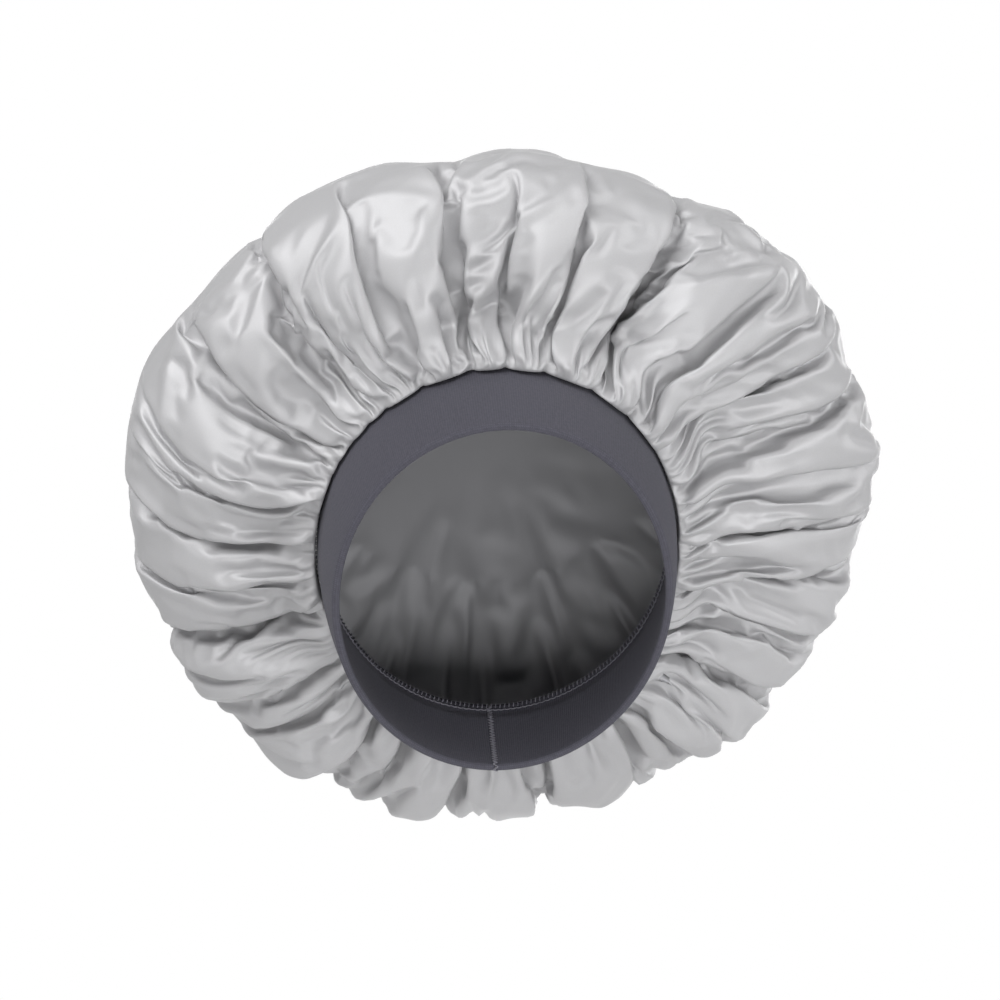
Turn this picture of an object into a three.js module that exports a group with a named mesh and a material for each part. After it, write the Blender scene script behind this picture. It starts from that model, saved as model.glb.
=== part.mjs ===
// A satin sleep cap as worn: a full satin crown, gathered on to a wide stretch band that holds an elastic.
// Millimetres, +Z up, the wearer faces -Y. The origin is the centre of the head opening, at the front fold.
// All of it is laid out about the cap's own axis, from the front fold towards the crown, then leaned back.
import * as THREE from "three";

// Band and its elastic
const CAP_LEAN = 58; // degrees that the cap's axis leans back from upright
const ELASTIC_WIDTH = 34;
const ELASTIC_THICKNESS = 1.2;
const BAND_MARGIN = 5; // band beyond the elastic, at the front fold and at the seam
const KNIT_THICKNESS = 0.9; // one ply of the folded band
const FRONT_HALF_WIDTH = 73.5; // outside of the band at its front fold, across the head
const FRONT_HALF_DEPTH = 89.5; // and along it
const SEAM_HALF_WIDTH = 79; // outside of the band at the crown seam, across the head
const SEAM_HALF_DEPTH = 91; // and along it
const BAND_BELLY = 1.2; // how far the middle of the band bows out

// Seams
const SEAM_ALLOWANCE = 7; // raw edges beyond the crown seam
const THREAD_THICKNESS = 0.6;
const OVERLOCK_LEG = 3.2; // how far the overlock reaches down over the raw edges
const STITCH_RISE = 1.8; // stitch lines beyond the crown seam, in the seam allowance
const JOIN_WIDTH = 1; // stitching between the joined ends of the band and of the elastic
const CLEARANCE = 0.3; // between layers that are sewn together

// Crown
const SATIN_THICKNESS = 1.2; // bulk of the gathered cloth
const CROWN_RIGHT_REACH = 173; // widest girth of the crown from the cap's axis, towards +X
const CROWN_LEFT_REACH = 162; // towards -X
const CROWN_FRONT_REACH = 162; // towards the forehead
const CROWN_BACK_REACH = 179; // towards the nape
const SHOULDER_RISE = 55; // crown seam to the widest girth, along the axis
const BACK_RISE = 85; // widest girth to the back of the crown
const SEAM_ROLL = 1.6; // radius of the roll that the satin makes as it leaves the seam
const NECK_STEP = 4.5; // where the crown starts to swell, out from the band
const SIDE_END = 0.46; // share of the back's curve where the side of the crown ends
const BACK_LAP = 0.06; // share of the back's curve by which the part that presses in laps inside the side

// Main folds: degrees round from the forehead, positive to +X, depth as a share of the deepest fold's,
// and reach, where a fold has died out, counted 1 from the seam to the widest girth and 1 on to the back.
const DEEPEST_FOLD = 20; // from ridge to crease, at the seam
const FOLDS = [
  { at: -129, deep: 0.5, reach: 1.7 },
  { at: -116, deep: 0.85, reach: 2 },
  { at: -104, deep: 0.45, reach: 1.9 },
  { at: -91, deep: 0.45, reach: 1.9 },
  { at: -78, deep: 0.35, reach: 1.4 },
  { at: -60, deep: 0.9, reach: 2 },
  { at: -46, deep: 0.55, reach: 2 },
  { at: -37, deep: 0.45, reach: 1.3 },
  { at: -25, deep: 0.4, reach: 1.7 },
  { at: -9, deep: 0.9, reach: 1.9 },
  { at: 2, deep: 0.5, reach: 1.2 },
  { at: 12, deep: 0.55, reach: 1.8 },
  { at: 29, deep: 1, reach: 2 },
  { at: 43, deep: 0.4, reach: 1.5 },
  { at: 56, deep: 0.4, reach: 1.8 },
  { at: 69, deep: 0.85, reach: 1.9 },
  { at: 86, deep: 0.45, reach: 2 },
  { at: 103, deep: 0.6, reach: 2 },
  { at: 112, deep: 0.45, reach: 1.8 },
  { at: 123, deep: 0.6, reach: 1.9 },
  { at: 135, deep: 0.45, reach: 1.6 },
  { at: 147, deep: 0.55, reach: 2 },
  { at: 159, deep: 0.45, reach: 1.6 },
  { at: 171, deep: 0.45, reach: 1.8 },
  { at: 183, deep: 0.75, reach: 1.7 },
  { at: 195, deep: 0.45, reach: 1.9 },
  { at: 208, deep: 0.65, reach: 1.9 },
  { at: 220, deep: 0.45, reach: 1.7 },
];
const RIDGE_SHARE = 0.35; // of a fold's depth, by which the cloth between the folds stands proud
const FOLD_FADE = 1.1; // how quickly a fold gets shallower on its way to where it dies out
const CREASE_SHARPNESS = 3; // how narrow a crease is beside the lobe between two folds
const NARROW_LOBE = 14; // degrees: a lobe no wider than this gets one column between its folds, others two

// Facets
const RING_STEPS = 42;
const FOLD_ARC_STEPS = 3;
const THREAD_SIDES = 6;

// Worked out from the above
const BAND_WIDTH = ELASTIC_WIDTH + 2 * BAND_MARGIN;
const ELASTIC_ROWS = [BAND_MARGIN, BAND_WIDTH / 2, BAND_WIDTH - BAND_MARGIN]; // front, middle and back
const SLOT = ELASTIC_THICKNESS + 2 * CLEARANCE;
const BAND_THICKNESS = 2 * KNIT_THICKNESS + SLOT;
const EDGE_THICKNESS = 2 * KNIT_THICKNESS + CLEARANCE; // both plies where they are sewn together
const RAW_EDGE = BAND_WIDTH + SEAM_ALLOWANCE;
const STITCH_LINE = BAND_WIDTH + STITCH_RISE;
const THREAD_STANDOFF = CLEARANCE + THREAD_THICKNESS / 2; // thread's middle from the cloth that it lies on
const FLAP_MIDDLE = CLEARANCE + SATIN_THICKNESS / 2; // satin's own raw edge, outside the band's
const FLAP_OUTSIDE = CLEARANCE + SATIN_THICKNESS;
const GIRTH_LEVEL = BAND_WIDTH + SHOULDER_RISE;
const LAST_SIDE_ROW = 1 + SIDE_END;
const LAP_ROW = LAST_SIDE_ROW - BACK_LAP;

const radians = THREE.MathUtils.degToRad;
const mix = THREE.MathUtils.lerp;

// Angle round the cap from degrees counted from the forehead.
const aroundFromForehead = (degrees) => radians(degrees - 90);

// A point on the band's surface family: angle round the cap, distance along the axis from the front fold,
// and distance out from the band's outside face.
function bandPoint(angle, along, out) {
  const share = THREE.MathUtils.clamp(along / BAND_WIDTH, 0, 1);
  const belly = BAND_BELLY * Math.sin(Math.PI * share);
  const halfWidth = mix(FRONT_HALF_WIDTH, SEAM_HALF_WIDTH, share) + belly;
  const halfDepth = mix(FRONT_HALF_DEPTH, SEAM_HALF_DEPTH, share) + belly;
  const normal = new THREE.Vector3(Math.cos(angle) / halfWidth, Math.sin(angle) / halfDepth, 0).normalize();
  const point = new THREE.Vector3(halfWidth * Math.cos(angle), halfDepth * Math.sin(angle), along);
  return point.addScaledVector(normal, out);
}

// A solid through a row of closed loops of points. Each loop runs counter-clockwise where out is to the
// right and the axis is up, and the loops follow one another counter-clockwise round the cap.
function loft(loops, closed) {
  const size = loops[0].length;
  const positions = loops.flat().flatMap((p) => p.toArray());
  const point = (i) => new THREE.Vector3().fromArray(positions, 3 * i);
  const index = [];
  const face = (a, b, c) => {
    const corners = [point(a), point(b), point(c)];
    const shortest = Math.min(...corners.map((corner, i) => corner.distanceTo(corners[(i + 1) % 3])));
    if (shortest > 0) index.push(a, b, c);
  };
  const last = closed ? loops.length : loops.length - 1;
  for (let i = 0; i < last; i++) {
    const here = i * size;
    const next = ((i + 1) % loops.length) * size;
    for (let j = 0; j < size; j++) {
      const k = (j + 1) % size;
      face(here + j, next + j, next + k);
      face(here + j, next + k, here + k);
    }
  }
  const geometry = new THREE.BufferGeometry();
  geometry.setAttribute("position", new THREE.Float32BufferAttribute(positions, 3));
  geometry.setIndex(index);
  return geometry;
}

// Both ends of an open loft, closed by the section that it was swept from.
function capEnds(geometry, section, loopCount) {
  const outline = section.map(([along, out]) => new THREE.Vector2(out, along));
  const triangles = THREE.ShapeUtils.triangulateShape(outline, []);
  const endStart = (loopCount - 1) * section.length;
  const start = triangles.flat();
  const end = triangles.flatMap(([a, b, c]) => [endStart + a, endStart + c, endStart + b]);
  geometry.setIndex([...geometry.index.array, ...start, ...end]);
  return geometry;
}

// A section, as [along, out] pairs, carried right round the cap.
function ring(section) {
  const loops = Array.from({ length: RING_STEPS }, (_, i) => {
    const angle = (i / RING_STEPS) * 2 * Math.PI;
    return section.map(([along, out]) => bandPoint(angle, along, out));
  });
  return loft(loops, true);
}

// A section carried from one angle to another, with its two ends closed.
function strip(section, from, to, steps) {
  const loops = Array.from({ length: steps + 1 }, (_, i) => {
    const angle = mix(from, to, i / steps);
    return section.map(([along, out]) => bandPoint(angle, along, out));
  });
  return capEnds(loft(loops, false), section, loops.length);
}

// Half the angle that a gap of this width takes up at the middle of the nape.
const halfAngleAtNape = (width) => width / 2 / FRONT_HALF_WIDTH;
const NAPE = Math.PI / 2;
const JOIN_GAP = JOIN_WIDTH + 2 * CLEARANCE;

// A strip whose two ends face each other at the nape.
function loopOpenAtNape(section) {
  const gap = halfAngleAtNape(JOIN_GAP);
  return strip(section, NAPE + gap, NAPE + 2 * Math.PI - gap, RING_STEPS);
}

// The stitching between those ends.
function joinAtNape(section) {
  const half = halfAngleAtNape(JOIN_WIDTH);
  return strip(section, NAPE - half, NAPE + half, 1);
}

// Half circle of the band's front fold, from its inside face round to its outside face.
function foldArc(radius, centreAlong, centreOut) {
  return Array.from({ length: FOLD_ARC_STEPS + 1 }, (_, i) => {
    const turn = Math.PI * (1 + i / FOLD_ARC_STEPS);
    return [centreAlong + radius * Math.sin(turn), centreOut + radius * Math.cos(turn)];
  });
}

// The band: a knit strip folded double, both raw edges in the crown seam, with a slot for the elastic.
function bandSection() {
  const radius = BAND_THICKNESS / 2;
  const slotRadius = radius - KNIT_THICKNESS;
  const face = (out) => ELASTIC_ROWS.map((along) => [along, out]);
  const outside = [
    ...face(0),
    [BAND_WIDTH, 0],
    [RAW_EDGE, 0],
    [RAW_EDGE, -KNIT_THICKNESS],
    [BAND_WIDTH, -KNIT_THICKNESS],
  ];
  const slot = [
    ...face(-KNIT_THICKNESS).reverse(),
    ...foldArc(slotRadius, radius, -radius).reverse(),
    ...face(-KNIT_THICKNESS - SLOT),
    [BAND_WIDTH, -KNIT_THICKNESS - CLEARANCE],
  ];
  const inside = [
    [RAW_EDGE, -KNIT_THICKNESS - CLEARANCE],
    [RAW_EDGE, -EDGE_THICKNESS],
    [BAND_WIDTH, -EDGE_THICKNESS],
    ...face(-BAND_THICKNESS).reverse(),
  ];
  return [...foldArc(radius, radius, -radius), ...outside, ...slot, ...inside];
}

// The elastic, between the two plies.
function elasticSection() {
  const outer = -KNIT_THICKNESS - CLEARANCE;
  const inner = outer - ELASTIC_THICKNESS;
  return [
    ...ELASTIC_ROWS.map((along) => [along, outer]),
    ...ELASTIC_ROWS.map((along) => [along, inner]).reverse(),
  ];
}

// A round thread at one place of the section.
function threadSection(along, out) {
  return Array.from({ length: THREAD_SIDES }, (_, i) => {
    const turn = (i / THREAD_SIDES) * 2 * Math.PI;
    const radius = THREAD_THICKNESS / 2;
    return [along + radius * Math.sin(turn), out + radius * Math.cos(turn)];
  });
}

// The overlock that wraps the raw edges of both plies and of the satin.
function overlockSection() {
  const low = RAW_EDGE - OVERLOCK_LEG;
  const top = RAW_EDGE + CLEARANCE;
  const innerFace = -EDGE_THICKNESS - CLEARANCE;
  const outerFace = FLAP_OUTSIDE + CLEARANCE;
  return [
    [low, outerFace],
    [low, outerFace + THREAD_THICKNESS],
    [top + THREAD_THICKNESS, outerFace + THREAD_THICKNESS],
    [top + THREAD_THICKNESS, innerFace - THREAD_THICKNESS],
    [low, innerFace - THREAD_THICKNESS],
    [low, innerFace],
    [top, innerFace],
    [top, outerFace],
  ];
}

// Crown folds, sorted round the cap, with the angle to the next one.
const foldRing = [...FOLDS].sort((a, b) => a.at - b.at).map((fold, i, all) => {
  const next = all[(i + 1) % all.length].at + (i + 1 < all.length ? 0 : 360);
  return { ...fold, gap: next - fold.at };
});

// Columns of the crown, in degrees from the forehead: one on each fold, one or two on the lobe beside it.
const crownColumns = foldRing.flatMap(({ at, gap }) => {
  const parts = gap > NARROW_LOBE ? 3 : 2;
  return Array.from({ length: parts }, (_, i) => at + (gap * i) / parts);
});

// How deep one fold still is at a place along the crown.
const foldDepth = (fold, place) =>
  DEEPEST_FOLD * fold.deep * (1 - Math.min(place / fold.reach, 1)) ** FOLD_FADE;

// Height of the folded cloth over the plain crown: proud on the lobes, with a crease in each fold.
function foldHeight(degrees, place) {
  const start = foldRing[0].at;
  const turned = start + ((((degrees - start) % 360) + 360) % 360);
  const i = foldRing.findLastIndex((fold) => fold.at <= turned + 1e-9);
  const here = foldRing[i];
  const next = foldRing[(i + 1) % foldRing.length];
  const share = (turned - here.at) / here.gap;
  const depth = mix(foldDepth(here, place), foldDepth(next, place), share);
  return depth * (RIDGE_SHARE - Math.abs(1 - 2 * share) ** CREASE_SHARPNESS);
}

// The widest girth of the crown at an angle.
function girthPoint(angle) {
  const sideways = Math.cos(angle) < 0 ? CROWN_LEFT_REACH : CROWN_RIGHT_REACH;
  const lengthways = Math.sin(angle) < 0 ? CROWN_FRONT_REACH : CROWN_BACK_REACH;
  return new THREE.Vector3(sideways * Math.cos(angle), lengthways * Math.sin(angle), GIRTH_LEVEL);
}

// The plain crown: place 0 at the neck, 1 at the widest girth, 2 at the back, along two quarter ellipses.
function plainCrown(angle, place) {
  const girth = girthPoint(angle);
  if (place <= 1) {
    const neck = bandPoint(angle, BAND_WIDTH, NECK_STEP);
    const turn = (place * Math.PI) / 2;
    const point = neck.clone().lerp(girth, Math.sin(turn));
    point.z = BAND_WIDTH + SHOULDER_RISE * (1 - Math.cos(turn));
    return point;
  }
  const turn = ((place - 1) * Math.PI) / 2;
  const point = girth.multiplyScalar(Math.cos(turn));
  point.z = GIRTH_LEVEL + BACK_RISE * Math.sin(turn);
  return point;
}

// Outward direction of the plain crown, from small steps along it and round it.
function plainNormal(angle, place) {
  const step = 1e-3;
  const ahead = Math.min(place, 2 - 2 * step);
  const along = plainCrown(angle, ahead + step).sub(plainCrown(angle, Math.max(ahead - step, 0)));
  const around = plainCrown(angle + step, ahead).sub(plainCrown(angle - step, ahead));
  return around.cross(along).normalize();
}

// The folded crown, middle of the cloth.
function crownPoint(degrees, place, inward) {
  const angle = aroundFromForehead(degrees);
  const height = foldHeight(degrees, place) - inward;
  return plainCrown(angle, place).addScaledVector(plainNormal(angle, place), height);
}

// Unit normals of a column of points, square to the cloth along the column and across to its neighbours.
function columnNormals(columns, i) {
  const count = columns.length;
  return columns[i].map((point, j, column) => {
    const along = column[Math.min(j + 1, column.length - 1)].clone().sub(column[Math.max(j - 1, 0)]);
    const around = columns[(i + 1) % count][j].clone().sub(columns[(i + count - 1) % count][j]);
    const normal = around.cross(along);
    return normal.length() > 0 ? normal.normalize() : new THREE.Vector3(0, 0, 1);
  });
}

// A cloth of the satin's thickness about columns of middle points, closed round the cap.
function clothSolid(columns) {
  const loops = columns.map((column, i) => {
    const normals = columnNormals(columns, i);
    const face = (out) => column.map((p, j) => p.clone().addScaledVector(normals[j], out));
    return [...face(SATIN_THICKNESS / 2), ...face(-SATIN_THICKNESS / 2).reverse()];
  });
  return loft(loops, true);
}

// Side of the crown: the raw edge in the seam, a roll over the seam, then the swell past the widest girth.
function crownSide() {
  const rows = [0.15, 0.45, 0.75, 1, mix(1, LAP_ROW, 0.5), LAP_ROW, LAST_SIDE_ROW];
  const columns = crownColumns.map((degrees) => {
    const angle = aroundFromForehead(degrees);
    return [
      bandPoint(angle, RAW_EDGE, FLAP_MIDDLE),
      bandPoint(angle, BAND_WIDTH + SEAM_ROLL, FLAP_MIDDLE),
      bandPoint(angle, BAND_WIDTH, FLAP_MIDDLE + SEAM_ROLL),
      ...rows.map((place) => crownPoint(degrees, place, 0)),
    ];
  });
  return clothSolid(columns);
}

// Back of the crown, which presses in: it laps inside the side and closes at the middle of the back.
function crownBack() {
  const rows = [LAP_ROW, LAST_SIDE_ROW, mix(LAST_SIDE_ROW, 2, 0.33), mix(LAST_SIDE_ROW, 2, 0.66), 2];
  const inward = SATIN_THICKNESS + CLEARANCE;
  return clothSolid(crownColumns.map((degrees) => rows.map((place) => crownPoint(degrees, place, inward))));
}

// Finishes
const satin = new THREE.MeshStandardMaterial({ color: 0xbdbdc0, roughness: 0.35, metalness: 0 });
const knit = new THREE.MeshStandardMaterial({ color: 0x5a5863, roughness: 0.85, metalness: 0 });
const webbing = new THREE.MeshStandardMaterial({ color: 0xe8e6e2, roughness: 0.9, metalness: 0 });
const thread = new THREE.MeshStandardMaterial({ color: 0x4c4a54, roughness: 0.7, metalness: 0 });

const cap = new THREE.Group();
cap.rotation.x = -radians(CAP_LEAN);

function piece(name, geometry, material) {
  geometry.computeVertexNormals();
  const mesh = new THREE.Mesh(geometry, material);
  mesh.name = name;
  cap.add(mesh);
}

piece("crown_side", crownSide(), satin);
piece("crown_back", crownBack(), satin);
piece("band_cover", loopOpenAtNape(bandSection()), knit);
piece("band_join_thread", joinAtNape(bandSection()), thread);
piece("band_elastic", loopOpenAtNape(elasticSection()), webbing);
piece("elastic_join_thread", joinAtNape(elasticSection()), thread);
piece("gathering_thread", ring(threadSection(STITCH_LINE, FLAP_OUTSIDE + THREAD_STANDOFF)), thread);
piece("seam_thread", ring(threadSection(STITCH_LINE, -EDGE_THICKNESS - THREAD_STANDOFF)), thread);
piece("overlock_thread", ring(overlockSection()), thread);

const sleepCap = new THREE.Group();
sleepCap.add(cap);
export default sleepCap;
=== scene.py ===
import math

import bmesh
import bpy
import numpy as np
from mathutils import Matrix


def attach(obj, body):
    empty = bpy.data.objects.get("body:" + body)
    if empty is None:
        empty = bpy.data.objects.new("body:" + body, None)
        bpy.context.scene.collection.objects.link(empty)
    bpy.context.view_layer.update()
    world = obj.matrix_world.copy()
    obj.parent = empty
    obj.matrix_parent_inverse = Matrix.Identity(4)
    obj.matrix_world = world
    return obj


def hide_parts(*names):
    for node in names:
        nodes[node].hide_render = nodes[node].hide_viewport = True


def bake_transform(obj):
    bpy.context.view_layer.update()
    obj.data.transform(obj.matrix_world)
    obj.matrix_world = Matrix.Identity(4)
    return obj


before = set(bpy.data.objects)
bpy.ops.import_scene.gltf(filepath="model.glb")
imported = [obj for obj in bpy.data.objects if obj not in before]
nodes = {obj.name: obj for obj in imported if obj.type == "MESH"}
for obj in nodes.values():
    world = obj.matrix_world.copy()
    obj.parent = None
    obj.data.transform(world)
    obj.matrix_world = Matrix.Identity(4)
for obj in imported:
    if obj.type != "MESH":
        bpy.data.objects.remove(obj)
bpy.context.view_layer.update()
scene = bpy.context.scene

# the cap in its own axes, in metres: x across the opening, y towards the nape,
# z from the front fold to the crown
cap = {
    "lean": 58.0,  # degrees, back from upright
    "bandWidth": 0.044,
    "frontHalfWidth": 0.0735,
    "frontHalfDepth": 0.0895,
    "seamHalfWidth": 0.079,
    "seamHalfDepth": 0.091,
    "belly": 0.0012,
    "allowance": 0.007,
}
leanSin = math.sin(math.radians(cap["lean"]))
leanCos = math.cos(math.radians(cap["lean"]))
rawEdge = cap["bandWidth"] + cap["allowance"]
nape = math.pi / 2


# cap axes to the frame's axes: a turn about x by the lean
def toRow(p):
    p = np.asarray(p, float)
    return np.stack([p[..., 0], p[..., 1] * leanCos + p[..., 2] * leanSin,
                     p[..., 2] * leanCos - p[..., 1] * leanSin], -1)


# point near the band: an ellipse that widens from fold to seam and bows a little,
# moved out along its own normal
def bandPoint(angle, along, out):
    share = np.clip(along / cap["bandWidth"], 0, 1)
    bow = cap["belly"] * np.sin(np.pi * share)
    a = cap["frontHalfWidth"] + (cap["seamHalfWidth"] - cap["frontHalfWidth"]) * share + bow
    b = cap["frontHalfDepth"] + (cap["seamHalfDepth"] - cap["frontHalfDepth"]) * share + bow
    nx, ny = np.cos(angle) / a, np.sin(angle) / b
    size = np.hypot(nx, ny)
    x = a * np.cos(angle) + out * nx / size
    y = b * np.sin(angle) + out * ny / size
    return np.stack(np.broadcast_arrays(x, y, along + 0 * x), -1)


def smoothStep(low, high, x):
    t = np.clip((x - low) / (high - low), 0, 1)
    return t * t * (3 - 2 * t)


# a mesh piece; flat gives every point its place on the cloth before sewing, kept as the UV map "cut"
def addPiece(name, points, faces, material, flat=None, closed=False):
    mesh = bpy.data.meshes.new(name)
    mesh.from_pydata(np.asarray(points, float).reshape(-1, 3).tolist(), [], faces)
    if closed:
        work = bmesh.new()
        work.from_mesh(mesh)
        bmesh.ops.recalc_face_normals(work, faces=work.faces)
        work.to_mesh(mesh)
        work.free()
    mesh.polygons.foreach_set("use_smooth", np.ones(len(mesh.polygons), bool))
    if flat is not None:
        corner = np.empty(len(mesh.loops), np.int32)
        mesh.loops.foreach_get("vertex_index", corner)
        uv = np.asarray(flat, float).reshape(-1, 2)[corner]
        mesh.uv_layers.new(name="cut").data.foreach_set("uv", uv.ravel())
    mesh.materials.append(material)
    mesh.update()
    piece = bpy.data.objects.new(name, mesh)
    scene.collection.objects.link(piece)
    return piece


# quads of a grid of rows and columns, either way may close on itself
def gridFaces(rows, columns, closeRows=False, closeColumns=True):
    r = np.arange(rows if closeRows else rows - 1)
    c = np.arange(columns if closeColumns else columns - 1)
    r, c = np.meshgrid(r, c, indexing="ij")
    r2, c2 = (r + 1) % rows, (c + 1) % columns
    quads = np.stack([r * columns + c, r * columns + c2, r2 * columns + c2, r2 * columns + c], -1)
    return quads.reshape(-1, 4).tolist()


# threads along many paths at once: a ring round every path point, square to the path
def threadTubes(paths, ups, radius, sides=6, loop=False):
    if loop:
        ahead = np.roll(paths, -1, 1) - np.roll(paths, 1, 1)
    else:
        ahead = np.gradient(paths, axis=1)
    side = np.cross(ahead, ups)
    up = np.cross(side, ahead)
    side = (side / np.linalg.norm(side, axis=-1, keepdims=True))[:, :, None]
    up = (up / np.linalg.norm(up, axis=-1, keepdims=True))[:, :, None]
    turn = (np.arange(sides) / sides * 2 * np.pi)[:, None]
    points = paths[:, :, None] + radius * (np.cos(turn) * up + np.sin(turn) * side)
    many, steps = paths.shape[:2]
    start = (np.arange(many) * steps * sides)[:, None, None]
    faces = (np.array(gridFaces(steps, sides, closeRows=loop)) + start).reshape(-1, 4).tolist()
    if not loop:
        ends = np.arange(sides) + np.array([[0], [(steps - 1) * sides]])
        faces += (ends + start).reshape(-1, sides).tolist()
    return points, faces


# a shader node with its settings, its inputs set or linked
def newNode(tree, kind, inputs, **settings):
    node = tree.nodes.new(kind)
    for name, value in settings.items():
        setattr(node, name, value)
    for name, value in inputs.items():
        if isinstance(value, bpy.types.NodeSocket):
            tree.links.new(value, node.inputs[name])
        else:
            node.inputs[name].default_value = value
    return node


def calc(tree, operation, a, b=0.0):
    return newNode(tree, "ShaderNodeMath", {0: a, 1: b}, operation=operation).outputs[0]


def newGroup(name, inputs, outputs):
    group = bpy.data.node_groups.new(name, "ShaderNodeTree")
    for label, kind in inputs:
        group.interface.new_socket(label, in_out="INPUT", socket_type=kind)
    for label, kind in outputs:
        group.interface.new_socket(label, in_out="OUTPUT", socket_type=kind)
    return group, group.nodes.new("NodeGroupInput").outputs, group.nodes.new("NodeGroupOutput").inputs


def useGroup(tree, group, inputs):
    return newNode(tree, "ShaderNodeGroup", inputs, node_tree=group).outputs


def newMaterial(name, settings):
    material = bpy.data.materials.new(name)
    material.use_nodes = True
    shader = material.node_tree.nodes["Principled BSDF"]
    for socket, value in settings.items():
        shader.inputs[socket].default_value = value
    return material, material.node_tree, shader.inputs


# uneven dye: soft clouds that darken a colour by up to the given amount
unevenDye, given, out = newGroup("unevenDye", [("Vector", "NodeSocketVector"), ("Color", "NodeSocketColor"),
                                               ("Scale", "NodeSocketFloat"), ("Amount", "NodeSocketFloat")],
                                 [("Color", "NodeSocketColor")])
cloud = newNode(unevenDye, "ShaderNodeTexNoise", {
    "Vector": given["Vector"], "Scale": given["Scale"], "Detail": 4.0})
keep = calc(unevenDye, "SUBTRACT", 1.0, calc(unevenDye, "MULTIPLY", cloud.outputs["Fac"], given["Amount"]))
shade = newNode(unevenDye, "ShaderNodeVectorMath", {0: given["Color"], "Scale": keep}, operation="SCALE")
unevenDye.links.new(shade.outputs[0], out["Color"])

# loops of yarn in columns: a rounded column across, and along it a wave that slants
# to both sides of the column
yarnLoops, given, out = newGroup("yarnLoops", [("Vector", "NodeSocketVector"), ("Across", "NodeSocketFloat"),
                                               ("Along", "NodeSocketFloat"), ("Slant", "NodeSocketFloat")],
                                 [("Height", "NodeSocketFloat")])
parts = newNode(yarnLoops, "ShaderNodeSeparateXYZ", {"Vector": given["Vector"]}).outputs
column = calc(yarnLoops, "FRACT", calc(yarnLoops, "MULTIPLY", parts["X"], given["Across"]))
off = calc(yarnLoops, "ABSOLUTE", calc(yarnLoops, "SUBTRACT", column, 0.5))
row = calc(yarnLoops, "ADD", calc(yarnLoops, "MULTIPLY", parts["Y"], given["Along"]),
           calc(yarnLoops, "MULTIPLY", off, given["Slant"]))
wave = calc(yarnLoops, "SINE", calc(yarnLoops, "MULTIPLY", row, 2 * math.pi))
wave = calc(yarnLoops, "MULTIPLY", calc(yarnLoops, "ADD", wave, 1.0), 0.5)
rounded = calc(yarnLoops, "SINE", calc(yarnLoops, "MULTIPLY", column, math.pi))
height = calc(yarnLoops, "MULTIPLY", rounded, wave)
yarnLoops.links.new(height, out["Height"])


# silver satin: fine floats all one way of the cut, duller on its wrong side
satinLook = {
    "colour": (0.485, 0.483, 0.494, 1),
    "roughness": (0.45, 0.55),
    "wrongColour": (0.36, 0.36, 0.375, 1),
    "wrongRoughness": 0.6,
    "floats": (2600.0, 190.0, 1.0),  # to the metre, across and along the cut
}


def satinMaterial():
    material, tree, shader = newMaterial("silverSatin", {
        "Metallic": 0.2, "Specular IOR Level": 0.46, "Sheen Weight": 0.06, "Sheen Roughness": 0.4,
        "Anisotropic": 0.7})
    cut = newNode(tree, "ShaderNodeUVMap", {}, uv_map="cut").outputs["UV"]
    weft = newNode(tree, "ShaderNodeTangent", {}, direction_type="UV_MAP", uv_map="cut").outputs["Tangent"]
    tree.links.new(weft, shader["Tangent"])
    dyed = useGroup(tree, unevenDye, {
        "Vector": cut, "Color": satinLook["colour"], "Scale": 14.0, "Amount": 0.07})
    grain = useGroup(tree, unevenDye, {
        "Vector": cut, "Color": dyed["Color"], "Scale": 1400.0, "Amount": 0.12})
    back = newNode(tree, "ShaderNodeNewGeometry", {}).outputs["Backfacing"]
    colour = newNode(tree, "ShaderNodeMix", {
        "Factor": back, "A": grain["Color"], "B": satinLook["wrongColour"]},
        data_type="RGBA", clamp_factor=True)
    tree.links.new(colour.outputs["Result"], shader["Base Color"])
    stretched = newNode(tree, "ShaderNodeMapping", {"Vector": cut, "Scale": satinLook["floats"]})
    floats = newNode(tree, "ShaderNodeTexNoise", {
        "Vector": stretched.outputs["Vector"], "Scale": 1.0, "Detail": 2.0}).outputs["Fac"]
    smoothest, roughest = satinLook["roughness"]
    rough = newNode(tree, "ShaderNodeMapRange", {"Value": floats, "To Min": smoothest, "To Max": roughest})
    dull = newNode(tree, "ShaderNodeMix", {
        "Factor": back, "A": rough.outputs["Result"], "B": satinLook["wrongRoughness"]})
    tree.links.new(dull.outputs["Result"], shader["Roughness"])
    bump = newNode(tree, "ShaderNodeBump", {"Strength": 0.12, "Distance": 0.0002, "Height": floats})
    tree.links.new(bump.outputs["Normal"], shader["Normal"])
    return material


# slate stretch knit: fine loops with lighter and darker yarn, and painted shade in the dips between the
# loops with painted light on their tops
def knitMaterial():
    material, tree, shader = newMaterial("slateKnit", {
        "Roughness": 0.85, "Specular IOR Level": 0.15, "Sheen Weight": 0.05, "Sheen Roughness": 0.5})
    cut = newNode(tree, "ShaderNodeUVMap", {}, uv_map="cut").outputs["UV"]
    loops = useGroup(tree, yarnLoops, {
        "Vector": cut, "Across": 950.0, "Along": 1250.0, "Slant": 0.9})["Height"]
    dyed = useGroup(tree, unevenDye, {
        "Vector": cut, "Color": (0.104, 0.102, 0.127, 1), "Scale": 700.0, "Amount": 0.45})
    # painted shade and light: the colour darkens where the loops dip and lightens on their tops
    loopShading = newNode(tree, "ShaderNodeMapRange", {"Value": loops, "To Min": 0.82, "To Max": 1.12})
    colour = newNode(tree, "ShaderNodeVectorMath", {
        0: dyed["Color"], "Scale": loopShading.outputs["Result"]}, operation="SCALE")
    tree.links.new(colour.outputs[0], shader["Base Color"])
    bump = newNode(tree, "ShaderNodeBump", {"Strength": 0.5, "Distance": 0.0003, "Height": loops})
    tree.links.new(bump.outputs["Normal"], shader["Normal"])
    return material


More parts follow.
